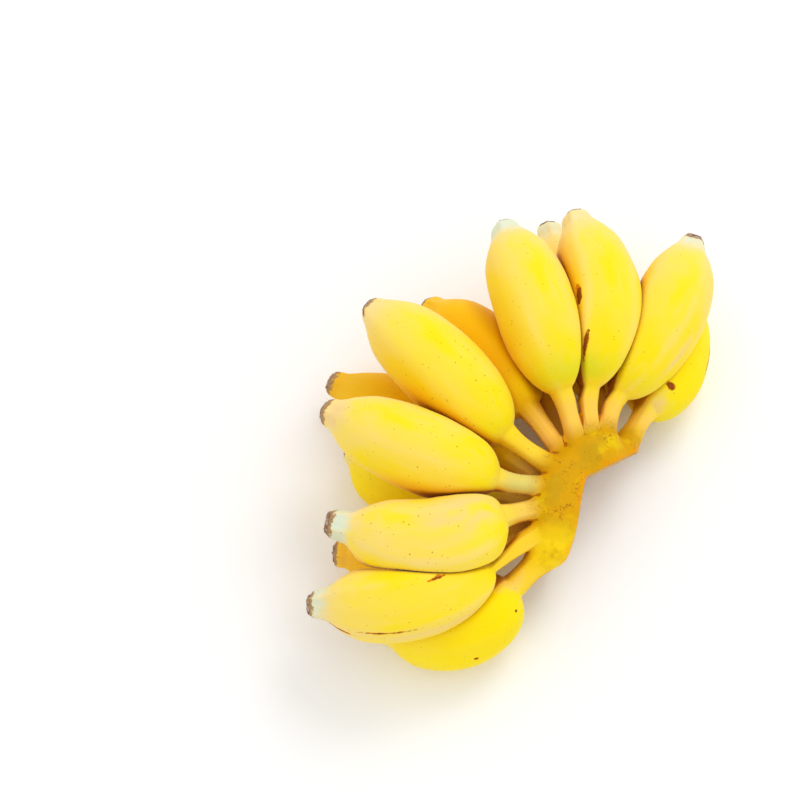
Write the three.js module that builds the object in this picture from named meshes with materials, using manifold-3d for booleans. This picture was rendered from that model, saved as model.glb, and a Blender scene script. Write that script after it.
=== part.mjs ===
// A hand of apple bananas, picked and laid on a table with its cut crown to the right.
// Fifteen short, plump fingers fan out from the crown in two rows: the upper row lies on the
// lower one, and the lower one lies on the table. Each finger is turned round its own middle
// line, and where two fingers meet they press each other flat.
// Millimetres, +Z up, +X towards the crown. The origin is on the table, under the hand's middle.
import * as THREE from "three";
import { mergeVertices } from "three/addons/utils/BufferGeometryUtils.js";
import Module from "manifold-3d";

const wasm = await Module();
wasm.setup();

// Driving dimensions
const NECK_RADIUS = 4.9; // of the stalk between the crown and a finger's body
const NUB_RADIUS = 6.3; // of the short snout at a finger's far end
const BLOSSOM_RADIUS = 4.8; // of the dried flower scar on the snout
const ROOT = 11; // from the crown's middle line to where a finger's own stalk begins
const GAP = 0.3; // between pieces that meet face to face
const PRESS_GAP = 1; // between fingers that press each other flat
const SOFTEST_PRESS = 0.3; // share of its radius that a pressed finger keeps at least
const BLOSSOM_LENGTH = 2.4;
const RIDGES = 5; // soft edges that run along a finger
const RIDGE_HEIGHT = 0.025; // share of the radius
const CROWN_THICK = 21; // of the crown's pad, from the fingers to the cut
const CROWN_TALL = 37; // of the pad, from the lower row to the upper one
const CROWN_MIDDLE = 28; // height of the pad's middle line over the table

// The pad's middle line seen from above, from its far end to its near end.
const CROWN_PATH = [
  [53, -15.5],
  [41, -20],
  [28, -28],
  [22, -40],
  [20, -53],
  [18, -65],
];

// Two straight knife cuts took the pad off the stem. Here is where they start, meet and end at
// table height, seen from above, and how far they move out along X and Y for each step up.
const KNIFE_CUTS = [
  [72, 2.5],
  [25.5, -22],
  [12, -99],
];
const KNIFE_SLOPE = { x: 0.15, y: -0.25 };

// The fingers in order round the crown. root is a share of the crown's path and a height over the
// table. neck, belly and tip are points on the finger's middle line: the stalk's end, the
// widest stretch and the far end. girth is the belly's width, and roll turns the ridges. A
// finger's stalk may leave the crown wider than the others' by a factor, and its snout may be
// longer by a length, or shorter.
const FINGERS = [
  {
    root: [0.05, 31], neck: [64.5, 9.5, 28], belly: [79, 41, 19.7], tip: [87, 86, 20],
    girth: 39, roll: 10, stalk: 1.15,
  },
  {
    root: [0.2, 41], neck: [49, 12, 43], belly: [76.5, 56, 50], tip: [91.5, 96.5, 48],
    girth: 40.5, roll: 35, snout: -3,
  },
  { root: [0.27, 20], neck: [43, 17, 22], belly: [33, 66, 17.3], tip: [19, 122.5, 18], girth: 35, roll: 0 },
  { root: [0.26, 41], neck: [35, 13, 48], belly: [42.8, 52, 58], tip: [30, 108, 57], girth: 41.5, roll: 47 },
  { root: [0.345, 41], neck: [22, 10, 51], belly: [9.3, 49, 65], tip: [-6.5, 100, 60], girth: 41, roll: 50 },
  { root: [0.42, 20], neck: [16, 15, 20], belly: [-3, 50, 15], tip: [-24, 71, 17], girth: 31, roll: 15 },
  { root: [0.42, 40], neck: [6, 5, 41], belly: [-19, 41, 36], tip: [-46, 68.5, 32], girth: 40, roll: 5 },
  {
    root: [0.49, 41], neck: [-6, -12.5, 50], belly: [-39, 17.5, 64], tip: [-74.5, 54.5, 58],
    girth: 41, roll: 30, snout: -2.5,
  },
  { root: [0.55, 20], neck: [-5, -15, 23], belly: [-50, 9, 18.3], tip: [-95, 31, 19], girth: 37, roll: 60 },
  {
    root: [0.58, 41], neck: [-11, -36, 50], belly: [-51, -25.5, 64], tip: [-96, -2, 58],
    girth: 40, roll: 45,
  },
  {
    root: [0.66, 20], neck: [-12, -31, 23], belly: [-62, -23, 18.4], tip: [-84.5, -6, 21],
    girth: 38, roll: 12,
  },
  {
    root: [0.7, 41], neck: [-9, -54.2, 48], belly: [-42, -71.2, 57.9], tip: [-93, -60.5, 58],
    girth: 43, roll: 25, snout: 4,
  },
  {
    root: [0.75, 20], neck: [-7, -53, 23], belly: [-45, -63, 18.5], tip: [-92, -62, 19],
    girth: 36, roll: 40,
  },
  {
    root: [0.81, 40], neck: [-15, -75, 41], belly: [-58, -97, 49.5], tip: [-102, -97, 42],
    girth: 41.5, roll: 80, snout: 1,
  },
  {
    root: [0.94, 34], neck: [-3, -82.5, 28], belly: [-28, -99.5, 21.5], tip: [-71, -101.5, 20],
    girth: 42, roll: 20, stalk: 1.5,
  },
];

// Shares of the stalk's length, and of its radius there.
const NECK_SHAPE = [
  [0, 1.1],
  [0.5, 0.98],
];
// Shares of the body's length from the stalk, and of the belly's radius there.
const BODY_SHAPE = [
  [0.0, 0.3],
  [0.03, 0.48],
  [0.08, 0.68],
  [0.16, 0.85],
  [0.27, 0.96],
  [0.4, 1.0],
  [0.5, 0.99],
  [0.62, 0.94],
  [0.74, 0.84],
  [0.84, 0.64],
  [0.9, 0.46],
  [0.94, 0.36],
];

const FINGER_SEGMENTS = 20;
const BLOSSOM_SEGMENTS = 12;
const PAD_SEGMENTS = 24;
const PRESS_SAMPLES = 60; // balls that stand for a finger when its neighbours press on it

const material = (color, roughness) => {
  return new THREE.MeshStandardMaterial({ color, roughness, metalness: 0 });
};
const CROWN = material(0xd8a51e, 0.6);
const PEEL = material(0xfbdf2b, 0.45);
const BLOSSOM = material(0x5b4632, 0.85);

const vectors = (points) => points.map((p) => new THREE.Vector3(...p));
const crownPath = new THREE.CatmullRomCurve3(vectors(CROWN_PATH.map((p) => [...p, CROWN_MIDDLE])));

/** The finger's middle line, from inside the crown to its tip, and its outline along it. */
function layOut({ root: [share, height], neck, belly, tip, girth, roll, stalk = 1, snout = 0 }) {
  const heart = crownPath.getPointAt(share).setZ(height);
  const curve = new THREE.CatmullRomCurve3([heart, ...vectors([neck, belly, tip])]);
  curve.arcLengthDivisions = 600;
  const neckEnd = curve.getLengths()[curve.arcLengthDivisions / 3];
  const end = curve.getLength() - BLOSSOM_LENGTH;
  const start = NECK_SHAPE.map(([t, wide]) => {
    return [wide * NECK_RADIUS * THREE.MathUtils.lerp(stalk, 1, t), ROOT + t * (neckEnd - ROOT)];
  });
  const body = BODY_SHAPE.map(([t, wide]) => {
    return [Math.max((wide * girth) / 2, NUB_RADIUS), neckEnd + t * (end - snout - neckEnd)];
  });
  const outline = [...start, ...body, [NUB_RADIUS, end - 1], [NUB_RADIUS * 0.8, end]];
  const layout = { curve, outline, end, roll: THREE.MathUtils.degToRad(roll) };
  layout.balls = fillWithBalls(layout);
  return layout;
}

function radiusAt(outline, distance) {
  const next = outline.findIndex(([, y]) => y > distance);
  if (next < 1) return outline.at(next)[0];
  const [r0, y0] = outline[next - 1];
  const [r1, y1] = outline[next];
  return THREE.MathUtils.mapLinear(distance, y0, y1, r0, r1);
}

function fillWithBalls({ curve, outline, end }) {
  const length = curve.getLength();
  return Array.from({ length: PRESS_SAMPLES + 1 }, (_, i) => {
    const distance = THREE.MathUtils.lerp(ROOT, end, i / PRESS_SAMPLES);
    return { centre: curve.getPointAt(distance / length), radius: radiusAt(outline, distance) };
  });
}

const layouts = FINGERS.map(layOut);

/**
 * Moves a point of a finger's skin in towards the middle line, to the finger's own side of the
 * flat that it shares with each neighbour.
 */
function press(point, centre, radius, layout) {
  const out = point.clone().sub(centre);
  const power = (ball) => ball.centre.distanceToSquared(point) - ball.radius ** 2;
  let keep = 1;
  for (const other of layouts) {
    if (other === layout) continue;
    const nearest = other.balls.reduce((best, ball) => (power(ball) < power(best) ? ball : best));
    const across = nearest.centre.clone().sub(centre);
    const apart = across.length();
    const reach = out.dot(across) / apart;
    if (reach <= 0 || apart > radius + nearest.radius + PRESS_GAP) continue;
    const flat = (apart ** 2 - nearest.radius ** 2 + radius ** 2) / (2 * apart) - PRESS_GAP / 2;
    keep = Math.min(keep, flat / reach);
  }
  return centre.clone().addScaledVector(out, Math.max(keep, SOFTEST_PRESS));
}

/** Bends a shape turned round the Y axis: the axis comes to lie on the curve, Y along it. */
function bendAlong(geometry, curve, place) {
  geometry.deleteAttribute("normal");
  geometry.deleteAttribute("uv");
  const position = geometry.getAttribute("position");
  const length = curve.getLength();
  const up = new THREE.Vector3(0, 0, 1);
  for (let i = 0; i < position.count; i++) {
    const share = THREE.MathUtils.clamp(position.getY(i) / length, 0, 1);
    const tangent = curve.getTangentAt(share);
    const side = new THREE.Vector3().crossVectors(tangent, up).normalize();
    const lift = new THREE.Vector3().crossVectors(side, tangent);
    const across = { x: position.getX(i), z: position.getZ(i) };
    const point = place(curve.getPointAt(share), side, lift, across);
    position.setXYZ(i, point.x, point.y, point.z);
  }
  return mergeVertices(geometry, 1e-3);
}

function placePlainly(centre, side, lift, { x, z }) {
  return centre.clone().addScaledVector(side, x).addScaledVector(lift, z);
}

/** A turned shape on a curve, closed on the axis at both ends of its outline. */
function turnAlong(curve, outline, segments, place = placePlainly) {
  const closed = [[0, outline[0][1]], ...outline, [0, outline.at(-1)[1]]];
  const profile = closed.map(([r, y]) => new THREE.Vector2(r, y));
  return bendAlong(new THREE.LatheGeometry(profile, segments), curve, place);
}

function makeFinger(layout) {
  return turnAlong(layout.curve, layout.outline, FINGER_SEGMENTS, (centre, side, lift, { x, z }) => {
    const ridge = 1 + RIDGE_HEIGHT * Math.cos(RIDGES * (Math.atan2(x, z) - layout.roll));
    const point = placePlainly(centre, side, lift, { x: x * ridge, z: z * ridge });
    return press(point, centre, Math.hypot(x, z), layout);
  });
}

function makeBlossomEnd({ curve, end }) {
  const start = end + GAP;
  const tip = end + BLOSSOM_LENGTH;
  const outline = [
    [BLOSSOM_RADIUS, start],
    [BLOSSOM_RADIUS * 0.96, (start + tip) / 2],
    [BLOSSOM_RADIUS * 0.7, tip],
  ];
  return turnAlong(curve, outline, BLOSSOM_SEGMENTS);
}

function toSolid(geometry) {
  return new wasm.Manifold(
    new wasm.Mesh({
      numProp: 3,
      vertProperties: geometry.getAttribute("position").array,
      triVerts: new Uint32Array(geometry.index.array),
    }),
  );
}

function fromSolid(solid) {
  const mesh = solid.getMesh();
  return new THREE.BufferGeometry()
    .setAttribute("position", new THREE.BufferAttribute(mesh.vertProperties, 3))
    .setIndex(new THREE.BufferAttribute(mesh.triVerts, 1));
}

/** A round length of stalk between two distances from the crown's middle line. */
function makeStalk({ curve }, from, to, radius) {
  const outline = [from, (from + to) / 2, to].map((distance) => [radius, distance]);
  return toSolid(turnAlong(curve, outline, FINGER_SEGMENTS));
}

/** The bar that the fingers grow from: a rounded oblong across, tapered at both ends. */
function makePad() {
  const length = crownPath.getLength();
  const outline = [
    [0.55, 0.01],
    [0.85, 0.06],
    [1, 0.18],
    [1.05, 0.5],
    [1, 0.82],
    [0.85, 0.94],
    [0.55, 0.99],
  ].map(([wide, share]) => [(wide * CROWN_THICK) / 2, share * length]);
  const oblong = (centre, side, lift, { x, z }) => {
    const fuller = Math.hypot(x, z) / (x ** 4 + z ** 4) ** 0.25 || 1;
    return placePlainly(centre, side, lift, { x: x * fuller, z: (z * fuller * CROWN_TALL) / CROWN_THICK });
  };
  return toSolid(turnAlong(crownPath, outline, PAD_SEGMENTS, oblong));
}

/** What the knife takes away: everything beyond both cuts. */
function makeOffcut() {
  const [start, corner, end] = KNIFE_CUTS;
  const beyond = [start, corner, end, [start[0], end[1]]].map((p) => new THREE.Vector2(...p));
  const depth = 2 * CROWN_TALL;
  const geometry = new THREE.ExtrudeGeometry(new THREE.Shape(beyond), { depth, bevelEnabled: false });
  geometry.applyMatrix4(new THREE.Matrix4().makeShear(0, 0, 0, 0, KNIFE_SLOPE.x, KNIFE_SLOPE.y));
  geometry.deleteAttribute("normal");
  geometry.deleteAttribute("uv");
  return toSolid(mergeVertices(geometry, 1e-3));
}

/** The pad with a stub for each finger, and a socket round the start of each finger's stalk. */
function makeCrown() {
  const face = ROOT - GAP;
  let solid = makePad();
  for (const layout of layouts) {
    solid = solid.add(makeStalk(layout, GAP, face, layout.outline[0][0]));
  }
  for (const layout of layouts) {
    const socket = layout.outline[0][0] * (1 + RIDGE_HEIGHT) + GAP;
    solid = solid.subtract(makeStalk(layout, face, face + ROOT, socket));
  }
  return fromSolid(solid.subtract(makeOffcut()));
}

const hand = new THREE.Group();

function addPiece(name, geometry, surface) {
  const mesh = new THREE.Mesh(geometry, surface);
  mesh.name = name;
  hand.add(mesh);
}

addPiece("crown", makeCrown(), CROWN);
layouts.forEach((layout, i) => {
  const number = String(i + 1).padStart(2, "0");
  addPiece(`finger_${number}`, makeFinger(layout), PEEL);
  addPiece(`blossom_end_${number}`, makeBlossomEnd(layout), BLOSSOM);
});

export default hand;
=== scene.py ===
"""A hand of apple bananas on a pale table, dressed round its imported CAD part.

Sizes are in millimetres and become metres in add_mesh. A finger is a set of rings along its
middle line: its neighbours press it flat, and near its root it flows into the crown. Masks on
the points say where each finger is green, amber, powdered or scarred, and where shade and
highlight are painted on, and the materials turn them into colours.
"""

import math

import bpy
import numpy as np
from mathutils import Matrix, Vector, noise


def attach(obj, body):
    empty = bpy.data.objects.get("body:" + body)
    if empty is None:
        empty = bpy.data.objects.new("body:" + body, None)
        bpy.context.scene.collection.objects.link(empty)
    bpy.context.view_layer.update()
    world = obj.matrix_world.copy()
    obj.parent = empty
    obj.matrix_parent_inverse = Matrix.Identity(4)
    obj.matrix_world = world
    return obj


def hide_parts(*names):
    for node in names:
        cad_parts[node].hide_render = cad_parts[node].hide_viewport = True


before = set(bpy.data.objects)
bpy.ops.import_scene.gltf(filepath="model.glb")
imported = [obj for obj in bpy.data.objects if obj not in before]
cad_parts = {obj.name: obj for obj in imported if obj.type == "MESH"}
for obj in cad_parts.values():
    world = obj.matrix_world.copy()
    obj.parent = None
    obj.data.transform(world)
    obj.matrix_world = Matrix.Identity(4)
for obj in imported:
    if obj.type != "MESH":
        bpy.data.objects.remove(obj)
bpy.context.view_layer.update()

MM = 0.001

# ---------------------------------------------------------------- sizes, as in the CAD part
NECK_RADIUS = 4.9  # of the stalk between the crown and a finger's body
NUB_RADIUS = 6.3  # of the snout at a finger's far end
ROOT = 11.0  # from the crown's middle line to where a finger's own stalk begins
BLOSSOM_LENGTH = 2.4
CROWN_THICK = 21.0
CROWN_TALL = 37.0
CROWN_MIDDLE = 28.0
CROWN_PATH = [(53, -15.5), (41, -20), (28, -28), (22, -40), (20, -53), (18, -65)]
PAD_SHAPE = [(0.0, 0.5), (0.06, 0.85), (0.18, 1), (0.5, 1.05), (0.82, 1), (0.94, 0.85), (1, 0.5)]
KNIFE_CUTS = [(72, 2.5), (25.5, -22), (12, -99)]
KNIFE_SLOPE = (0.15, -0.25)
NECK_SHAPE = [(0, 1.1), (0.5, 0.98)]
BODY_SHAPE = [
    (0.0, 0.3), (0.03, 0.48), (0.08, 0.68), (0.16, 0.85), (0.27, 0.96), (0.4, 1.0),
    (0.5, 0.99), (0.62, 0.94), (0.74, 0.84), (0.84, 0.64), (0.9, 0.46), (0.94, 0.36),
]

# The fingers in order round the crown. root: share of the crown's path and height. neck, belly,
# tip: points on the middle line. roll turns the five edges, which are as sharp as edges says.
# The looks are strengths from 0 to 1: amber is how orange the peel is, its own tone and, on the
# fingers that lie in the shade of others, painted shade too, bloom how powdery, green
# how green at the shoulders, cream and mint how pale and how green at the far end. dry is the
# length of the brown far end, stub the width of the dried flower as a share of the snout.
# shade is how strongly painted shade turns the peel orange where its neighbours crowd it, and
# side_shade how strongly painted shade turns it amber on its side away from the lamp. pink
# and sap are how pinkish and how pale green the stalk is, and freckles is how dark the freckles are.
# scars (brown) and scuffs (pinkish) lie at (share of the body, degrees round it) and reach
# (half a length, half a width).
FINGERS = [
    dict(root=(0.05, 31), neck=(64.5, 9.5, 28), belly=(79, 41, 19.7), tip=(87, 86, 20),
         girth=39, roll=10, stalk=1.15, bloom=0.1, cream=0.3,
         scars=[(0.13, 25, 1.9, 3.3), (0.5, 78, 9, 0.9)], scuffs=[(0.0, 38, 9, 7)]),
    dict(root=(0.2, 41), neck=(49, 12, 43), belly=(76.5, 56, 50), tip=(91.5, 96.5, 48),
         girth=40.5, roll=35, snout=-3, bloom=0.7, mint=0.6, dry=3, stub=0.95,
         scuffs=[(0.42, 66, 24, 3.5)]),
    dict(root=(0.27, 20), neck=(43, 17, 22), belly=(33, 66, 17.3), tip=(19, 122.5, 18),
         girth=35, roll=0, amber=0.4, mint=0.5, dry=1.8),
    dict(root=(0.26, 41), neck=(35, 13, 48), belly=(42.8, 52, 58), tip=(30, 108, 57),
         girth=41.5, roll=47, edges=1.5, bloom=0.6, green=0.5,
         dry=1.2, side_shade=0.9, scars=[(0.44, -40, 7, 2.6), (0.19, -17, 9, 1.6)]),
    dict(root=(0.345, 41), neck=(22, 10, 51), belly=(9.3, 49, 65), tip=(-6.5, 100, 60),
         girth=41, roll=50, edges=0.3, bloom=0.9, green=0.45, mint=0.8, dry=1.2, side_shade=0.5),
    dict(root=(0.42, 20), neck=(16, 15, 20), belly=(-3, 50, 15), tip=(-24, 71, 17),
         girth=31, roll=15, amber=0.9, cream=0.2),
    dict(root=(0.42, 40), neck=(6, 5, 41), belly=(-19, 41, 36), tip=(-46, 68.5, 32),
         girth=40, roll=5, amber=0.8, bloom=0, cream=0.1, mint=0, shade=0.8),
    dict(root=(0.49, 41), neck=(-6, -12.5, 50), belly=(-39, 17.5, 64), tip=(-74.5, 54.5, 58),
         girth=41, roll=30, snout=-2.5, edges=0.3, bloom=0.6, mint=0.2, dry=5.5,
         pink=0.4, side_shade=0.6, freckles=1.0, scars=[(0.97, -55, 2.5, 2.2)]),
    dict(root=(0.55, 20), neck=(-5, -15, 23), belly=(-50, 9, 18.3), tip=(-95, 31, 19),
         girth=37, roll=60, amber=0.8, bloom=0, cream=0.1, mint=0, dry=7),
    dict(root=(0.58, 41), neck=(-11, -36, 50), belly=(-51, -25.5, 64), tip=(-96, -2, 58),
         girth=40, roll=45, edges=0.3, bloom=0.9, mint=0.1, dry=7, pink=0.3, sap=1.0,
         side_shade=0.2, freckles=1.0, scars=[(0.27, -104, 9, 0.7)], scuffs=[(0.9, -20, 9, 10)]),
    dict(root=(0.66, 20), neck=(-12, -31, 23), belly=(-62, -23, 18.4), tip=(-84.5, -6, 21),
         girth=38, roll=12, amber=0, bloom=0.05, cream=0.2, shade=0),
    dict(root=(0.7, 41), neck=(-9, -54.2, 48), belly=(-42, -71.2, 57.9), tip=(-93, -60.5, 58),
         girth=43, roll=25, snout=4, edges=1.2, bloom=1.0, mint=1.0, dry=5, stub=0.9,
         pink=0.8, sap=0.2, side_shade=0.1, freckles=1.0, scuffs=[(0.3, 10, 26, 13)]),
    dict(root=(0.75, 20), neck=(-7, -53, 23), belly=(-45, -63, 18.5), tip=(-92, -62, 19),
         girth=36, roll=40, amber=0.9, bloom=0, cream=0.2, mint=0.1, dry=3.5),
    dict(root=(0.81, 40), neck=(-15, -75, 41), belly=(-58, -97, 49.5), tip=(-102, -97, 42),
         girth=41.5, roll=80, snout=1, edges=1.8, bloom=0.5, mint=0.7, dry=4.5, stub=0.8,
         pink=0.35, side_shade=0.1, scuffs=[(0.5, -84, 40, 8)],
         scars=[(0.38, -5, 5, 1.0), (0.22, 2, 3, 1.0), (0.62, -62, 16, 0.6), (0.84, -74, 10, 1.2)]),
    dict(root=(0.94, 34), neck=(-3, -82.5, 28), belly=(-28, -99.5, 21.5), tip=(-71, -101.5, 20),
         girth=42, roll=20, stalk=1.5, bloom=0.1, cream=0.4, pink=0.35,
         scars=[(0.42, -76, 1.2, 1), (0.1, -50, 1, 1)], scuffs=[(0.0, 15, 9, 7)]),
]

# ---------------------------------------------------------------- sizes of the fine meshes
PRESS_GAP = 0.4  # between fingers that press each other flat
PRESS_ROUNDING = 2.5  # how softly a pressed flat starts
SOFTEST_PRESS = 0.3  # share of its radius that a pressed finger keeps at least
BALLS = 61  # that stand for a finger when its neighbours press on it or shade it
SHADE_STRIDE = 3  # every so many of the balls are enough for the shade
SHADE_STRENGTH = 1.2  # of one ball, for its size and distance
RINGS = 190
AROUND = 120
HUMPS = (0.4, 21.0)  # height and size of a body's broad unevenness
DIMPLES = (0.25, 5.0)  # height and size of the small one, which is strongest on the snout
EDGE_HEIGHT = 0.022  # of a finger's five edges, as a share of its radius
TIP_EDGE_HEIGHT = 0.075  # of the same edges where they run out on the snout
SHADED_SIDE = np.array([-0.86, -0.50, -0.10])  # the way the side of a finger faces that gets painted shade, away from the lamp
BURIED = 2.5  # length of stalk inside the crown
FLARE_END = 12.0  # past ROOT, where the stalk stops flowing into the crown
FIELD_REACH = ROOT + FLARE_END + 6  # along a stalk, as far as a flowing skin point looks
FLARE_MOST = 2.2
FLARE_STEPS = 5  # towards the surface that a stalk shares with the crown
END_ROUNDING = 4.5  # length over which a snout rounds off to its dried flower
WEB = 4.0  # rounding of the hollows between the crown and the stalks
CROWN_WEB = 3.0  # more of the same where the stalks lie on the crown
CROWN_WEB_RANGE = (14, 5)  # from the crown's middle line, where it grows from none to all
CROTCH_RANGE = (9, 12)  # from the crown's middle line, where crotches start to count
CUT_ROUNDING = 0.8
CROWN_GRID = 1.0
CROWN_GRID_BOX = [(-12, -94, 4.0), (84, 22, 62.0)]
SLOPE_PROBE = 0.05  # how far apart two points are for the slope of the crown's field
SETTLING_STEPS = 3  # that bring the grid's points onto the crown's surface
TRACK_STRIDE = 25  # every so many of the path's points are enough for distances to it
STALK_POINTS = 14  # that stand for a stalk's middle line in the field
NEAR_STALK = 12.0  # past its reach, where a stalk no longer counts


# ---------------------------------------------------------------- curves and profiles
def spline(points, steps):
    """Points on the centripetal Catmull-Rom curve through the given points."""
    points = np.array(points, float)
    padded = np.vstack([2 * points[0] - points[1], points, 2 * points[-1] - points[-2]])
    t = np.linspace(0, 1, steps, endpoint=False)[:, None]
    spans = []
    for p0, p1, p2, p3 in zip(padded, padded[1:], padded[2:], padded[3:]):
        d0, d1, d2 = (np.linalg.norm(b - a) ** 0.5 for a, b in ((p0, p1), (p1, p2), (p2, p3)))
        m1 = ((p1 - p0) / d0 - (p2 - p0) / (d0 + d1) + (p2 - p1) / d1) * d1
        m2 = ((p2 - p1) / d1 - (p3 - p1) / (d1 + d2) + (p3 - p2) / d2) * d1
        spans.append(
            (2 * t**3 - 3 * t**2 + 1) * p1 + (t**3 - 2 * t**2 + t) * m1
            + (3 * t**2 - 2 * t**3) * p2 + (t**3 - t**2) * m2
        )
    return np.vstack(spans + [points[-1:]])


class Line:
    """A curve measured by the distance along it."""

    STEPS = 200  # between two of its given points

    def __init__(self, points):
        self.points = spline(points, self.STEPS)
        steps_long = np.linalg.norm(np.diff(self.points, axis=0), axis=1)
        self.distances = np.concatenate([[0], np.cumsum(steps_long)])
        self.length = self.distances[-1]

    def at(self, distance):
        return np.stack([np.interp(distance, self.distances, p) for p in self.points.T], -1)

    def frames(self, distance):
        """Centres with the directions to the line's right and up from it."""
        along = self.at(distance + 0.2) - self.at(distance - 0.2)
        along /= np.linalg.norm(along, axis=-1, keepdims=True)
        side = np.cross(along, (0, 0, 1))
        side /= np.linalg.norm(side, axis=-1, keepdims=True)
        return self.at(distance), side, np.cross(side, along)


def smooth_profile(outline, at):
    """The value at each place, on a smooth curve through (place, value) points.

    The curve only turns at the points, so that it never bulges past them.
    """
    x, y = np.array(outline, float).T
    step = np.diff(x)
    rise = np.diff(y) / step
    slope = np.concatenate([rise[:1], np.zeros(len(x) - 2), rise[-1:]])
    same = rise[1:] * rise[:-1] > 0
    a, b = 2 * step[1:] + step[:-1], step[1:] + 2 * step[:-1]
    steady = (a + b)[same] / (a[same] / rise[:-1][same] + b[same] / rise[1:][same])
    slope[1:-1][same] = steady
    i = np.clip(np.searchsorted(x, at, side="right") - 1, 0, len(x) - 2)
    width = x[i + 1] - x[i]
    t = np.clip((at - x[i]) / width, 0, 1)
    return (
        (2 * t**3 - 3 * t**2 + 1) * y[i] + (t**3 - 2 * t**2 + t) * width * slope[i]
        + (3 * t**2 - 2 * t**3) * y[i + 1] + (t**3 - t**2) * width * slope[i + 1]
    )


def smooth_step(low, high, x):
    """0 at low and 1 at high, smoothly. low may be the larger one."""
    t = np.clip((x - low) / (high - low), 0, 1)
    return t * t * (3 - 2 * t)


def smooth_min(a, b, rounding):
    """The smaller of two fields, rounded where they cross."""
    h = np.maximum(rounding - np.abs(a - b), 0) / rounding
    return np.minimum(a, b) - h * h * rounding / 4


def ripple(points, size, seed):
    """Soft noise between -1 and 1, with humps about size apart."""
    offset = Vector((seed * 17.3, seed * 5.1, seed * 9.7))
    values = [noise.noise(Vector(p) / size + offset) for p in points.reshape(-1, 3)]
    return np.array(values).reshape(points.shape[:-1])


# ---------------------------------------------------------------- the lay of the crown and the fingers
crown_line = Line([(x, y, CROWN_MIDDLE) for x, y in CROWN_PATH])
CROWN_TRACK = crown_line.points[::TRACK_STRIDE, :2], crown_line.distances[::TRACK_STRIDE]

PLAIN_LOOKS = dict(amber=0.1, bloom=0.5, green=0.15, cream=1.0, mint=0.3, dry=2.5, stub=0.66,
                   shade=1.0, side_shade=0.3, pink=1.0, sap=0.0, freckles=0.6, scars=(), scuffs=())


class Finger:
    """Where a finger lies, how thick it is along its middle line, and how it looks."""

    def __init__(self, number, root, neck, belly, tip, girth, roll, stalk=1.0, snout=0.0,
                 edges=1.0, **looks):
        self.number = number
        heart = crown_line.at(root[0] * crown_line.length)
        heart[2] = root[1]
        self.line = Line([heart, neck, belly, tip])
        self.neck_end = self.line.distances[Line.STEPS]
        self.end = self.line.length - BLOSSOM_LENGTH
        self.roll = math.radians(roll)
        self.edges = edges
        self.looks = {**PLAIN_LOOKS, **looks}
        outline = [
            (ROOT + t * (self.neck_end - ROOT), wide * NECK_RADIUS * (stalk + (1 - stalk) * t))
            for t, wide in NECK_SHAPE
        ]
        outline += [
            (self.neck_end + t * (self.end - snout - self.neck_end), max(wide * girth / 2, NUB_RADIUS))
            for t, wide in BODY_SHAPE
        ]
        self.outline = outline + [(self.end, NUB_RADIUS)]
        distance = np.linspace(ROOT, self.end, BALLS)
        self.balls = self.line.at(distance), self.radius(distance)

    def radius(self, distance):
        return smooth_profile(self.outline, distance)

    def share(self, distance):
        """0 where the body starts and 1 at the far end."""
        return (distance - self.neck_end) / (self.end - self.neck_end)


fingers = [Finger(i + 1, **sizes) for i, sizes in enumerate(FINGERS)]


# ---------------------------------------------------------------- the crown's shape as a field
def nearest_on_path(points, path, values):
    """The distance from each point to a path, and the path's values at the nearest place."""
    best = np.full(len(points), 1e9)
    found = np.zeros(len(points))
    for a, b, va, vb in zip(path, path[1:], values, values[1:]):
        t = np.clip((points - a) @ (b - a) / ((b - a) @ (b - a)), 0, 1)
        apart = ((points - a - t[:, None] * (b - a)) ** 2).sum(1)
        closer = apart < best
        best = np.where(closer, apart, best)
        found = np.where(closer, va + t * (vb - va), found)
    return np.sqrt(best), found


def pad_field(points):
    """How far points are outside the crown's bar, a rounded oblong across, roughly."""
    apart, distance = nearest_on_path(points[:, :2], *CROWN_TRACK)
    wide = smooth_profile(PAD_SHAPE, distance / crown_line.length)
    x = apart / (CROWN_THICK / 2)
    z = (points[:, 2] - CROWN_MIDDLE) / (CROWN_TALL / 2)
    return ((x**4 + z**4) ** 0.25 - wide) * CROWN_THICK / 2


def stalk_field(points, finger, reach):
    """How far points are outside a finger's stalk, and how far along it they are."""
    distance = np.linspace(0, reach, STALK_POINTS)
    apart, along = nearest_on_path(points, finger.line.at(distance), distance)
    return apart - finger.radius(np.maximum(along, ROOT)), along


def grown_field(points, reach, sink=None):
    """The crown's bar and all the stalks, grown together. sink lowers the stalks with distance.

    Also gives how far along its stalk each point is, and how deep in the crotch of two stalks.
    """
    stalks = np.full(len(points), 1e3)
    nearest = stalks.copy()
    along = np.zeros(len(points))
    apart, _ = nearest_on_path(points[:, :2], *CROWN_TRACK)
    web = WEB + CROWN_WEB * smooth_step(*CROWN_WEB_RANGE, apart)
    for finger in fingers:
        near = np.linalg.norm(points - finger.line.at(ROOT), axis=1) < reach + NEAR_STALK
        if not near.any():
            continue
        outside, distance = stalk_field(points[near], finger, reach)
        along[near] = np.where(outside < nearest[near], distance, along[near])
        if sink:
            outside = outside + sink(distance)
        nearest[near] = np.minimum(nearest[near], outside)
        stalks[near] = smooth_min(stalks[near], outside, web[near])
    crotch = (nearest - stalks) / web * smooth_step(*CROTCH_RANGE, apart)
    return smooth_min(pad_field(points), stalks, web), along, crotch


def knife_field(points):
    """How far points are outside the two knife cuts, across the nearer one."""
    flat = points[:, :2] - points[:, 2:3] * np.array([KNIFE_SLOPE])
    start, corner, end = np.array(KNIFE_CUTS, float)
    sides = []
    for a, b in ((start, corner), (corner, end)):
        normal = np.array([(b - a)[1], -(b - a)[0]]) / np.linalg.norm(b - a)
        sides.append((flat - a) @ normal)
    return np.minimum(-sides[0], -sides[1])


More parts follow.
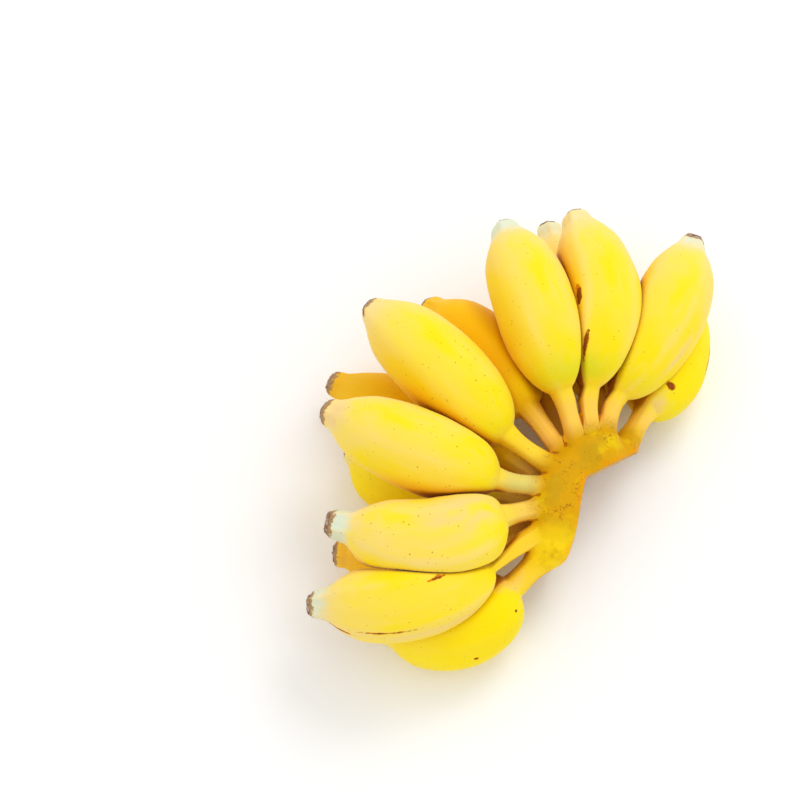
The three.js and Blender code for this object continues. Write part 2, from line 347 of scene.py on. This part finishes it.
# ---------------------------------------------------------------- meshes
def add_mesh(name, points, faces, masks):
    """A smooth mesh object from points in mm, with masks as attributes of its points."""
    mesh = bpy.data.meshes.new(name)
    mesh.from_pydata((np.asarray(points) * MM).tolist(), [], faces)
    for key, values in masks.items():
        values = np.asarray(values, np.float32)
        kind = "FLOAT" if values.ndim == 1 else "FLOAT_VECTOR"
        field = "value" if values.ndim == 1 else "vector"
        mesh.attributes.new(key, kind, "POINT").data.foreach_set(field, values.ravel())
    mesh.shade_smooth()
    mesh.validate()
    piece = bpy.data.objects.new(name, mesh)
    bpy.context.scene.collection.objects.link(piece)
    return piece


def tube_faces(rings, around):
    """Faces of a tube of rings, closed by the last two points at its start and its end."""
    faces = []
    for i in range(rings - 1):
        for j in range(around):
            k = (j + 1) % around
            faces.append((i * around + j, i * around + k, (i + 1) * around + k, (i + 1) * around + j))
    last = (rings - 1) * around
    for j in range(around):
        k = (j + 1) % around
        faces.append((rings * around, k, j))
        faces.append((rings * around + 1, last + j, last + k))
    return faces


def press(points, centres, radii, me):
    """Moves skin points in, to this finger's side of the flat it shares with each neighbour."""
    out = points - centres
    radial = np.linalg.norm(out, axis=-1)
    limit = radial.copy()
    for other in fingers:
        if other is me:
            continue
        balls, ball_radii = other.balls
        d2 = ((points[:, None] - balls[None]) ** 2).sum(-1)
        best = (d2 - ball_radii**2).argmin(1)
        q, rq = balls[best], ball_radii[best]
        across = q - centres
        apart = np.linalg.norm(across, axis=1)
        reach = (out * across).sum(1) / apart
        flat = (apart**2 - rq**2 + radii**2) / (2 * apart) - PRESS_GAP / 2
        facing = reach > 1e-6
        allowed = np.where(facing, flat / np.maximum(reach, 1e-6) * radial, 1e3)
        limit[facing] = smooth_min(limit, allowed, PRESS_ROUNDING)[facing]
    scale = np.maximum(limit, SOFTEST_PRESS * radial) / radial
    return centres + out * scale[:, None]


def ring_directions(angle, side, lift):
    """Outward directions round rings whose own right and up are side and lift."""
    return np.sin(angle)[None, :, None] * side[:, None] + np.cos(angle)[None, :, None] * lift[:, None]


def edge_wave(angle):
    """Five soft edges with nearly flat sides between them, from -0.5 to 1."""
    return 0.75 * np.cos(5 * angle) + 0.25 * np.cos(10 * angle)


def flow_into_crown(points, centres, distance):
    """Swells the start of a stalk out to the surface that it shares with the crown."""
    out = points - centres
    radial = np.linalg.norm(out, axis=1)
    out /= radial[:, None]
    grown = radial.copy()
    for _ in range(FLARE_STEPS):
        grown -= grown_field(centres + out * grown[:, None], FIELD_REACH)[0]
        grown = np.clip(grown, radial, radial + FLARE_MOST)
    weight = 1 - smooth_step(ROOT + 1, ROOT + FLARE_END, distance)
    return centres + out * (radial + (grown - radial) * weight)[:, None]


def crowding_shade_at(points, outward, me=None):
    """How much of what a skin point looks at is filled by other fingers, from 0 to 1: how strong the
    painted shade is there.
    """
    free = np.ones(len(points))
    for other in fingers:
        if other is me:
            continue
        balls, radii = (part[::SHADE_STRIDE] for part in other.balls)
        towards = balls[None] - points[:, None]
        d2 = (towards**2).sum(-1)
        facing = np.clip((towards * outward[:, None]).sum(-1) / np.sqrt(d2), 0, 1)
        free *= 1 - np.clip(SHADE_STRENGTH * facing * radii**2 / d2, 0, 1).max(1)
    return 1 - free


def fresh_at(points):
    """Strongest on the crown's near end, which is yellower than the rest of it."""
    return smooth_step(-52, -66, points[:, 1])


def marks_at(spots, finger, distance, angle, radii):
    """How strongly marks cover the skin. A spot is a share, degrees and half its size."""
    cover = np.zeros((len(distance), len(angle)))
    for share, degrees, half_length, half_width in spots:
        centre = finger.neck_end + share * (finger.end - finger.neck_end)
        turn = (angle - math.radians(degrees) + math.pi) % (2 * math.pi) - math.pi
        along = (distance - centre)[:, None] / half_length
        across = radii[:, None] * turn / half_width
        cover = np.maximum(cover, smooth_step(1.3, 0.3, np.hypot(along, across)))
    return cover.ravel()


def finger_masks(finger, points, outward, distance, angle, radii, wave):
    """How strongly each look shows at every point of a finger's rings."""
    looks = finger.looks
    share = np.repeat(finger.share(distance), AROUND)
    up = outward[:, 2]
    # painted shade on the side away from the lamp, and the side facing the lamp, where the powder is
    # painted thicker as a highlight
    side_shade = smooth_step(0.15, 0.85, outward @ SHADED_SIDE) * (1.1 - 0.5 * share) * looks["side_shade"]
    lit_side = smooth_step(0.2, 0.9, -(outward @ SHADED_SIDE))
    neck = smooth_step(0.06, -0.1, share)
    # painted shade on the sides and undersides of the stalks
    flank_shade = 0.62 * smooth_step(0.85, 0.1, up) + 0.26 * smooth_step(0.3, -0.1, up)
    paling = 0.35 * smooth_step(0.5, 0.8, share) + 0.65 * smooth_step(0.76, 0.97, share)
    grain = np.stack([
        radii[:, None] * np.sin(angle) * MM, radii[:, None] * np.cos(angle) * MM,
        np.repeat(distance[:, None] * MM, AROUND, 1),
    ], -1)
    return {
        "root": np.repeat(distance - ROOT, AROUND),
        "neck": neck,
        "pink": neck * looks["pink"],
        "sap": looks["sap"] * neck * smooth_step(-0.5, -0.2, share),
        "fresh": fresh_at(points),
        # powder, partly a painted highlight: thicker on the side facing the lamp and thinner on the
        # shaded side
        "powder_and_painted_light": looks["bloom"] * (0.5 + 0.7 * share) * (1 - side_shade + 0.4 * lit_side),
        "green": looks["green"] * smooth_step(0, 0.06, share) * smooth_step(0.28, 0.1, share),
        "cream": looks["cream"] * paling,
        "mint": looks["mint"] * smooth_step(0.82, 0.98, share),
        # the finger's amber tone, which on fingers in the shade of others is partly painted shade,
        # with painted shade on its side away from the lamp
        "amber": np.maximum(looks["amber"], side_shade),
        # cream along the edge crests, with the powder: a painted highlight
        "edge": smooth_step(0.5, 1, np.tile(wave, RINGS)) * finger.edges * looks["bloom"] * 0.6,
        "dry": np.repeat(smooth_step(-looks["dry"], 0, distance - finger.end), AROUND),
        "freckled": np.full(len(points), looks["freckles"]),
        "scar": marks_at(looks["scars"], finger, distance, angle, radii),
        "scuff": marks_at(looks["scuffs"], finger, distance, angle, radii),
        # painted shade where neighbours crowd the finger, and on the flanks of its stalk
        "painted_shade": np.maximum(crowding_shade_at(points, outward, finger) * looks["shade"], neck * flank_shade),
        "grain": grain.reshape(-1, 3),
    }


def make_finger(finger):
    """A finger's skin in rings along its middle line, from inside the crown to its far end."""
    stub = finger.looks["stub"]
    distance = np.linspace(ROOT - BURIED, finger.end, RINGS)
    angle = np.arange(AROUND) * 2 * math.pi / AROUND
    centres, side, lift = finger.line.frames(distance)
    rounding = np.sqrt(1 - np.clip(1 + (distance - finger.end) / END_ROUNDING, 0, 1) ** 2)
    radii = finger.radius(distance) * (stub + (1 - stub) * rounding)
    wave = edge_wave(angle - finger.roll)
    share = finger.share(distance)
    body = smooth_step(-0.03, 0.12, share)
    snout = smooth_step(0.82, 0.97, share)
    height = EDGE_HEIGHT * finger.edges * (2 - body) + TIP_EDGE_HEIGHT * snout
    direction = ring_directions(angle, side, lift)
    round_skin = centres[:, None] + direction * radii[:, None, None]
    swell = HUMPS[0] * ripple(round_skin, HUMPS[1], finger.number) * body[:, None]
    swell += DIMPLES[0] * ripple(round_skin, DIMPLES[1], finger.number + 40) * (0.3 + snout[:, None])
    radial = radii[:, None] * (1 + height[:, None] * wave[None]) + swell
    points = (centres[:, None] + direction * radial[..., None]).reshape(-1, 3)
    flat_centres = np.repeat(centres, AROUND, 0)
    points = press(points, flat_centres, np.repeat(radii, AROUND), finger)
    flared = (distance < ROOT + FLARE_END).sum() * AROUND
    points[:flared] = flow_into_crown(
        points[:flared], flat_centres[:flared], np.repeat(distance, AROUND)[:flared]
    )
    caps = [finger.line.at(distance[0]), finger.line.at(finger.end)]
    masks = finger_masks(finger, points, direction.reshape(-1, 3), distance, angle, radii, wave)
    masks = {key: np.concatenate([mask, mask[:1], mask[-1:]]) for key, mask in masks.items()}
    return add_mesh(
        f"banana_{finger.number:02d}", np.vstack([points, caps]), tube_faces(RINGS, AROUND), masks
    )


BLOSSOM_AROUND = 48
BLOSSOM_WALL = np.linspace(0, 1, 8)  # rings up its side, from inside the snout
BLOSSOM_TOP = np.linspace(1, 0.04, 14)  # rings across its crumpled top, as shares of the radius
BLOSSOM_BURIED = 0.8  # length of it inside the snout


def make_blossom_end(finger):
    """The dried stub of the flower: angular like the snout, with a crumpled top."""
    angle = np.arange(BLOSSOM_AROUND) * 2 * math.pi / BLOSSOM_AROUND
    wave = edge_wave(angle - finger.roll)
    stub = finger.looks["stub"]
    long = 5 * stub - 1.9  # the broader the stub, the longer
    wall = long * BLOSSOM_WALL - BLOSSOM_BURIED
    lengthways = np.concatenate([wall, np.full(len(BLOSSOM_TOP), wall[-1])])
    inwards = np.concatenate([np.ones(len(BLOSSOM_WALL)), BLOSSOM_TOP])
    centres, side, lift = finger.line.frames(np.full(len(inwards), finger.end))
    ahead = np.cross(lift, side)
    direction = ring_directions(angle, side, lift)
    radius = stub * NUB_RADIUS * (1.03 + 0.07 * wave[None]) * inwards[:, None]
    radius = radius * (1 - 0.1 * np.clip(lengthways, 0, None))[:, None]
    points = centres[:, None] + direction * radius[..., None]
    top = (inwards < 1)[:, None]
    crumple = 0.55 * ripple(points, 1.7, finger.number) + 0.3 * ripple(points, 0.8, finger.number)
    spike = (
        0.7 * np.exp(-((inwards / 0.25) ** 2)) - 0.5 * np.exp(-(((inwards - 0.6) / 0.2) ** 2))
    )[:, None]
    rise = lengthways[:, None] + np.where(top, crumple + spike, 0.5 * crumple)
    points = points + ahead[:, None] * rise[..., None]
    points += direction * np.where(top, 0, 0.3 * ripple(points, 1.5, finger.number + 9))[..., None]
    caps = [centres[0] + ahead[0] * wall[0], points[-1].mean(0)]
    # how deep in the folds of the top, where painted shade darkens it
    depth = np.concatenate([(-crumple).ravel(), [0, 0]])
    return add_mesh(
        f"dried_flower_{finger.number:02d}", np.vstack([points.reshape(-1, 3), caps]),
        tube_faces(len(inwards), BLOSSOM_AROUND), {"depth": depth},
    )


def surface_net(field, origin, step):
    """A quad mesh of the surface where a grid of values is zero, negative inside."""
    inside = field < 0
    corners = [(i, j, k) for i in (0, 1) for j in (0, 1) for k in (0, 1)]
    shape = np.array(field.shape) - 1

    def view(a, c):
        return a[c[0]:c[0] + shape[0], c[1]:c[1] + shape[1], c[2]:c[2] + shape[2]]

    total = sum(view(inside, c).astype(int) for c in corners)
    cells = np.argwhere((total > 0) & (total < 8))
    number = np.full(shape, -1)
    number[tuple(cells.T)] = np.arange(len(cells))
    summed = np.zeros((len(cells), 3))
    hits = np.zeros(len(cells))
    for a in corners:
        for axis in range(3):
            if a[axis]:
                continue
            b = tuple(np.array(a) + np.eye(3, dtype=int)[axis])
            fa, fb = field[tuple((cells + a).T)], field[tuple((cells + b).T)]
            cross = (fa < 0) != (fb < 0)
            t = np.where(cross, fa / np.where(cross, fa - fb, 1), 0)
            at = np.array(a) + t[:, None] * np.eye(3)[axis]
            summed += at * cross[:, None]
            hits += cross
    points = (cells + summed / hits[:, None]) * step + origin
    faces = []
    for axis in range(3):
        e1, e2 = np.eye(3, dtype=int)[(axis + 1) % 3], np.eye(3, dtype=int)[(axis + 2) % 3]
        edge = np.argwhere(inside != np.roll(inside, -1, axis))
        whole = (edge[:, axis] < shape[axis]) & (edge[:, (axis + 1) % 3] > 0)
        edge = edge[whole & (edge[:, (axis + 2) % 3] > 0)]
        edge = edge[(edge < shape).all(1)]
        quad = np.stack([number[tuple((edge - o).T)] for o in (0 * e1, e1, e1 + e2, e2)], 1)
        outward = inside[tuple(edge.T)]
        faces.append(np.where(outward[:, None], quad, quad[:, ::-1]))
    return points, np.vstack(faces)


def crown_field(points):
    """How far points are outside the crown, whose stalks sink below the fingers' own."""
    def sink(along):
        return -0.08 + 0.7 * smooth_step(ROOT - 1, ROOT + FLARE_END, along)

    grown, _, _ = grown_field(points, ROOT + FLARE_END, sink)
    return -smooth_min(-grown, -knife_field(points), CUT_ROUNDING)


def make_crown():
    """The crown and the starts of the stalks, without what the knife cut off."""
    low, high = np.array(CROWN_GRID_BOX, float)
    count = ((high - low) / CROWN_GRID).astype(int)
    steps = [low[i] + CROWN_GRID * np.arange(count[i]) for i in range(3)]
    grid = np.stack(np.meshgrid(*steps, indexing="ij"), -1)
    field = crown_field(grid.reshape(-1, 3)).reshape(grid.shape[:3])
    points, faces = surface_net(field, low, CROWN_GRID)
    probes = SLOPE_PROBE * np.eye(3)
    for _ in range(SETTLING_STEPS):
        value = crown_field(points)
        slope = np.stack([(crown_field(points + d) - value) / SLOPE_PROBE for d in probes], 1)
        move = np.clip(value / np.maximum((slope**2).sum(1), 0.2), -0.5, 0.5)
        points -= slope * move[:, None]
    outward = slope / np.linalg.norm(slope, axis=1, keepdims=True)
    _, along, crotch = grown_field(points, ROOT + FLARE_END)
    masks = {
        "root": along - ROOT,
        "fresh": fresh_at(points),
        # how deep in the crotches between the stalks, where painted shade goes
        "crotch": 4 * crotch * smooth_step(0, 3, pad_field(points)),
        "cut": smooth_step(-CUT_ROUNDING, 0.1, knife_field(points)),
        "rim": smooth_step(-5, -1, knife_field(points)),
        # painted shade where the fingers crowd the crown
        "painted_shade": crowding_shade_at(points, outward),
    }
    return add_mesh("crown_body", points, faces.tolist(), masks)


# ---------------------------------------------------------------- materials
YELLOW = (0.98, 0.78, 0.001)
PALE = (0.97, 0.735, 0.13)  # yellow peel under powder, and the painted highlight on a finger's lit side
CREAM = (0.93, 0.70, 0.28)
# amber peel, and the first step of painted shade in crevices
AMBER = (0.90, 0.43, 0.001)
ORANGE = (0.90, 0.34, 0.002)
RUSSET = (0.70, 0.22, 0.004)
# dark red-brown of painted shade, in tight crevices and crotches
SHADE_BROWN = (0.36, 0.07, 0.003)
GREEN = (0.62, 0.70, 0.03)
MINT = (0.70, 0.76, 0.58)
GOLD = (0.95, 0.66, 0.008)
PINK = (0.93, 0.52, 0.13)
SAP = (0.69, 0.61, 0.18)
OCHRE = (0.68, 0.35, 0.002)
OLIVE = (0.52, 0.31, 0.006)
SPECK = (0.26, 0.17, 0.02)
SCAR = (0.27, 0.07, 0.008)
SCUFF = (0.88, 0.61, 0.27)
CORK = (0.62, 0.40, 0.19)
BARK = (0.26, 0.13, 0.065)
MAUVE = (0.45, 0.34, 0.27)
CHAR = (0.025, 0.011, 0.008)
TAN = (0.43, 0.25, 0.10)


class Nodes:
    """A material whose nodes are written as nested calls. Sizes are in millimetres."""

    def __init__(self, name):
        self.material = bpy.data.materials.new(name)
        self.material.use_nodes = True
        self.tree = self.material.node_tree
        self.skin = self.tree.nodes["Principled BSDF"].inputs
        self.place = self.add("ShaderNodeTexCoord", {}, "Object")

    def add(self, kind, inputs, output=0, **settings):
        node = self.tree.nodes.new(kind)
        for key, value in settings.items():
            setattr(node, key, value)
        for key, value in inputs.items():
            self.plug(node.inputs[key], value)
        return node.outputs[output]

    def plug(self, socket, value):
        if isinstance(value, bpy.types.NodeSocket):
            self.tree.links.new(value, socket)
        elif isinstance(value, tuple) and socket.type == "RGBA":
            socket.default_value = (*value, 1)
        else:
            socket.default_value = value

    def mask(self, name):
        return self.add("ShaderNodeAttribute", {}, "Fac", attribute_name=name)

    def grain(self, longer):
        """Places on a finger's unbent skin, with what is drawn on it stretched lengthways."""
        skin = self.add("ShaderNodeAttribute", {}, "Vector", attribute_name="grain")
        return self.add("ShaderNodeVectorMath", {0: skin, 1: (1, 1, 1 / longer)}, operation="MULTIPLY")

    def noise(self, size, place=None, detail=2.0):
        inputs = {"Vector": place or self.place, "Scale": 1 / (size * MM), "Detail": detail}
        return self.add("ShaderNodeTexNoise", inputs)

    def math(self, operation, a, b=0.0):
        return self.add("ShaderNodeMath", {0: a, 1: b}, operation=operation, use_clamp=True)

    def times(self, *factors):
        product = factors[0]
        for factor in factors[1:]:
            product = self.math("MULTIPLY", product, factor)
        return product

    def spread(self, value, low, high, most=1.0):
        """0 at low and most at high, smoothly."""
        inputs = {"Value": value, "From Min": low, "From Max": high, "To Max": most}
        return self.add("ShaderNodeMapRange", inputs, interpolation_type="SMOOTHSTEP")

    def mix(self, share, a, b):
        """Colour a where share is 0 and b where it is 1."""
        inputs = {0: share, 6: a, 7: b}  # 6 and 7 are the node's colour sockets, and 2 its output
        return self.add("ShaderNodeMix", inputs, 2, data_type="RGBA")

    def specks(self, apart, radius, kept):
        """Round dots about so far apart, of which a share is kept."""
        inputs = {"Vector": self.place, "Scale": 1 / (apart * MM)}
        distance = self.add("ShaderNodeTexVoronoi", inputs)
        dot = self.spread(distance, radius / apart, 0.5 * radius / apart)
        chance = self.add("ShaderNodeSeparateColor", {0: distance.node.outputs["Color"]})
        return self.times(dot, self.spread(chance, kept, kept - 0.05))

    def bump(self, height, depth):
        inputs = {"Height": height, "Distance": depth * MM, "Strength": 1.0}
        self.plug(self.skin["Normal"], self.add("ShaderNodeBump", inputs))


def crown_color(n, grit):
    """Ochre to olive skin with brown dots, yellower on the crown's near end."""
    color = n.mix(n.spread(n.noise(9, detail=3), 0.45, 0.65, 0.6), OCHRE, OLIVE)
    color = n.mix(n.spread(n.noise(14, detail=3), 0.52, 0.72, 0.4), color, YELLOW)
    dots = n.times(n.spread(grit, 0.48, 0.66, 0.8), n.spread(n.noise(8), 0.48, 0.64))
    color = n.mix(dots, color, SCAR)
    yellower = n.times(n.mask("fresh"), n.spread(n.noise(6, detail=3), 0.1, 0.5, 0.95))
    return n.mix(yellower, color, GOLD)


def cut_crown_color(n, grit, crown):
    """The crown with its orange rim, painted shade in its crotches and corky knife cuts."""
    color = n.mix(n.times(n.mask("rim"), n.spread(n.noise(8), 0.35, 0.65, 0.7)), crown, ORANGE)
    # painted shade, dark red-brown, in the crotches between the stalks
    color = n.mix(n.spread(n.mask("crotch"), 0.22, 0.65, 0.85), color, SHADE_BROWN)
    cork = n.mix(n.spread(n.noise(10, detail=3), 0.4, 0.65, 0.5), CORK, TAN)
    return n.mix(n.mask("cut"), color, n.mix(n.spread(grit, 0.5, 0.75, 0.7), cork, BARK))


def body_color(n, fine, blotches):
    """Yellow peel with its powder, its amber and green parts and its pale far end. Paler on the lit
    side and along the edge crests, and amber on the shaded side, are painted light and shade.
    """
    clouds = n.noise(34, detail=2)
    # pale powder, thicker on the side facing the lamp as a painted highlight
    color = n.mix(n.times(n.spread(blotches, 0.32, 0.62), n.mask("powder_and_painted_light")), YELLOW, PALE)
    color = n.mix(n.times(n.spread(fine, 0.45, 0.75, 0.2), n.mask("powder_and_painted_light")), color, CREAM)
    # amber, partly the peel's tone and partly painted shade
    color = n.mix(n.times(n.mask("amber"), n.spread(clouds, 0.0, 0.5)), color, AMBER)
    color = n.mix(n.times(n.mask("green"), n.spread(clouds, 0.3, 0.55)), color, GREEN)
    color = n.mix(n.times(n.mask("cream"), n.spread(blotches, 0.2, 0.55, 0.85)), color, CREAM)
    ragged_mint = n.math("ADD", n.mask("mint"), n.times(fine, 0.5))
    color = n.mix(n.spread(ragged_mint, 0.3, 1.1), color, MINT)
    # cream on the edge crests, with the powder: a painted highlight
    return n.mix(n.times(n.mask("edge"), n.spread(blotches, 0.3, 0.6, 0.6)), color, CREAM)


def peel_color(n, fine, crown):
    """A finger's colour from the crown over its stalk to its body."""
    blotches = n.noise(20, n.grain(1.8), 3)
    color = body_color(n, fine, blotches)
    rosy = n.times(n.mask("pink"), n.spread(n.noise(11, n.grain(3), 3), 0.75, 0.4))
    color = n.mix(n.times(n.mask("neck"), 0.8), color, n.mix(rosy, GOLD, PINK))
    color = n.mix(n.times(n.mask("sap"), n.spread(blotches, 0.3, 0.55, 0.9)), color, SAP)
    color = n.mix(n.spread(n.mask("root"), 12, 0), color, crown)
    rubbed = n.spread(n.noise(7, n.grain(2.5), 4), 0.3, 0.6, 0.65)
    return n.mix(n.times(n.mask("scuff"), rubbed), color, SCUFF)


def paint_crevice_shade(n, color):
    """Paints shade: deepens the colour to amber and dark brown where the fingers crowd each other."""
    color = n.mix(n.spread(n.mask("painted_shade"), 0.3, 0.9, 0.6), color, AMBER)
    return n.mix(n.spread(n.mask("painted_shade"), 0.75, 1.0, 0.8), color, SHADE_BROWN)


def worn(n, color):
    """Ragged brown on the dry far end and in the scars."""
    for wear, size, least, brown in (
        (n.mask("dry"), 1.8, 0.62, TAN), (n.mask("dry"), 0.9, 0.85, BARK),
        (n.mask("scar"), 3.0, 0.55, RUSSET), (n.mask("scar"), 2.2, 0.64, SCAR),
    ):
        ragged = n.math("ADD", n.times(wear, 0.5), n.times(n.noise(size, detail=4), 0.8))
        cover = n.times(n.spread(ragged, least, least + 0.15), n.spread(wear, 0, 0.3))
        color = n.mix(cover, color, brown)
    return color


def freckled(n, color, strength):
    """Small brown dots in clusters, and larger ones further apart."""
    small = n.times(n.specks(2.8, 0.37, 0.7), n.spread(n.noise(16), 0.4, 0.55), strength)
    color = n.mix(n.times(small, 0.7), color, SPECK)
    large = n.times(n.specks(4.5, 0.48, 0.8), n.spread(n.noise(24), 0.4, 0.52), strength)
    return n.mix(n.times(large, 0.8), color, SPECK)


def finish_skin(n, color, relief, depth):
    """Silky skin with a faint yellow sheen."""
    n.plug(n.skin["Base Color"], color)
    n.skin["Specular IOR Level"].default_value = 0.06
    n.skin["Sheen Weight"].default_value = 0.5
    n.skin["Sheen Roughness"].default_value = 0.2
    n.skin["Sheen Tint"].default_value = (1, 0.9, 0.55, 1)
    n.bump(relief, depth)
    return n.material


def crown_material():
    n = Nodes("crown_skin")
    grit = n.noise(1.2, detail=3)
    color = paint_crevice_shade(n, cut_crown_color(n, grit, crown_color(n, grit)))
    color = freckled(n, color, n.spread(n.mask("fresh"), 1, 0))
    n.skin["Roughness"].default_value = 0.5
    relief = n.math("ADD", n.times(n.noise(4.5, detail=4), 0.8), n.times(n.noise(0.9), 0.1))
    return finish_skin(n, color, relief, 0.7)


def peel_material():
    n = Nodes("peel")
    fine = n.noise(3.5, n.grain(5), 3)
    color = peel_color(n, fine, crown_color(n, n.noise(1.2, detail=3)))
    color = freckled(n, worn(n, paint_crevice_shade(n, color)), n.mask("freckled"))
    roughness = {"Value": fine, "To Min": 0.42, "To Max": 0.58}
    n.plug(n.skin["Roughness"], n.add("ShaderNodeMapRange", roughness))
    relief = n.math("ADD", n.times(n.noise(1.6, n.grain(9), 3), 0.5), n.times(n.noise(0.9), 0.5))
    return finish_skin(n, color, relief, 0.12)


def blossom_material():
    """Mauve-brown crumbs, with painted shade in the folds."""
    n = Nodes("dried_blossom")
    crumbs = n.noise(1.6, detail=4)
    color = n.mix(n.spread(n.noise(3.0, detail=3), 0.4, 0.62), BARK, MAUVE)
    color = n.mix(n.spread(crumbs, 0.58, 0.72), color, CHAR)
    # painted shade in the folds
    color = n.mix(n.spread(n.mask("depth"), 0.05, 0.4, 0.8), color, CHAR)
    n.plug(n.skin["Base Color"], color)
    n.skin["Roughness"].default_value = 0.8
    n.bump(crumbs, 0.35)
    return n.material


# ---------------------------------------------------------------- the hand
def put_on(piece, material, node):
    """Dresses a node of the CAD part in a piece of the scene."""
    piece.data.materials.append(material)
    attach(piece, "root")
    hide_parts(node)


put_on(make_crown(), crown_material(), "crown")
peel = peel_material()
dried = blossom_material()
for finger in fingers:
    put_on(make_finger(finger), peel, f"finger_{finger.number:02d}")
    put_on(make_blossom_end(finger), dried, f"blossom_end_{finger.number:02d}")


# ---------------------------------------------------------------- table, camera and light
TABLE_SIZE = 14.0
TABLE_WHITE = 0.96


def make_table():
    mesh = bpy.data.meshes.new("table")
    half = TABLE_SIZE / 2
    corners = [(-half, -half, 0), (half, -half, 0), (half, half, 0), (-half, half, 0)]
    mesh.from_pydata(corners, [], [(0, 1, 2, 3)])
    table = bpy.data.objects.new("table", mesh)
    bpy.context.scene.collection.objects.link(table)
    n = Nodes("table_top")
    n.plug(n.skin["Base Color"], (TABLE_WHITE,) * 3)
    n.skin["Roughness"].default_value = 0.9
    n.skin["Specular IOR Level"].default_value = 0.0
    mesh.materials.append(n.material)


def aim(thing, place, target):
    """Puts a camera or a lamp where it looks at the target."""
    thing.location = place
    thing.rotation_euler = (Vector(target) - Vector(place)).to_track_quat("-Z", "Y").to_euler()
    bpy.context.scene.collection.objects.link(thing)


CAMERA_TARGET = Vector((-57.5, 15.8, 28)) * MM
CAMERA_ELEVATION = math.radians(66)
CAMERA_DISTANCE = 1.1
CAMERA_LENS = 99


def make_camera():
    camera = bpy.data.objects.new("camera", bpy.data.cameras.new("camera"))
    camera.data.lens = CAMERA_LENS
    away = Vector((0, -math.cos(CAMERA_ELEVATION), math.sin(CAMERA_ELEVATION)))
    aim(camera, CAMERA_TARGET + away * CAMERA_DISTANCE, CAMERA_TARGET)
    bpy.context.scene.camera = camera


HAND_MIDDLE = (0, 0, 0.04)


def make_lamp(name, place, size, watts):
    light = bpy.data.lights.new(name, "AREA")
    light.size = size
    light.energy = watts
    aim(bpy.data.objects.new(name, light), place, HAND_MIDDLE)


WORLD_STRENGTH = 0.95


def make_world():
    world = bpy.data.worlds.new("studio")
    world.use_nodes = True
    bpy.context.scene.world = world
    tree = world.node_tree
    path = tree.nodes.new("ShaderNodeLightPath")
    straight = tree.nodes.new("ShaderNodeMath")
    straight.operation = "MAXIMUM"
    tree.links.new(path.outputs["Is Camera Ray"], straight.inputs[0])
    tree.links.new(path.outputs["Is Glossy Ray"], straight.inputs[1])
    strength = tree.nodes.new("ShaderNodeMapRange")
    strength.inputs["To Min"].default_value = WORLD_STRENGTH
    strength.inputs["To Max"].default_value = 1
    tree.links.new(straight.outputs[0], strength.inputs["Value"])
    tree.nodes["Background"].inputs["Color"].default_value = (1, 1, 1, 1)
    tree.links.new(strength.outputs[0], tree.nodes["Background"].inputs["Strength"])


make_table()
make_camera()
make_lamp("key", place=(0.5, 0.75, 1.3), size=0.7, watts=6)
make_world()
bpy.context.scene.view_settings.view_transform = "Standard"
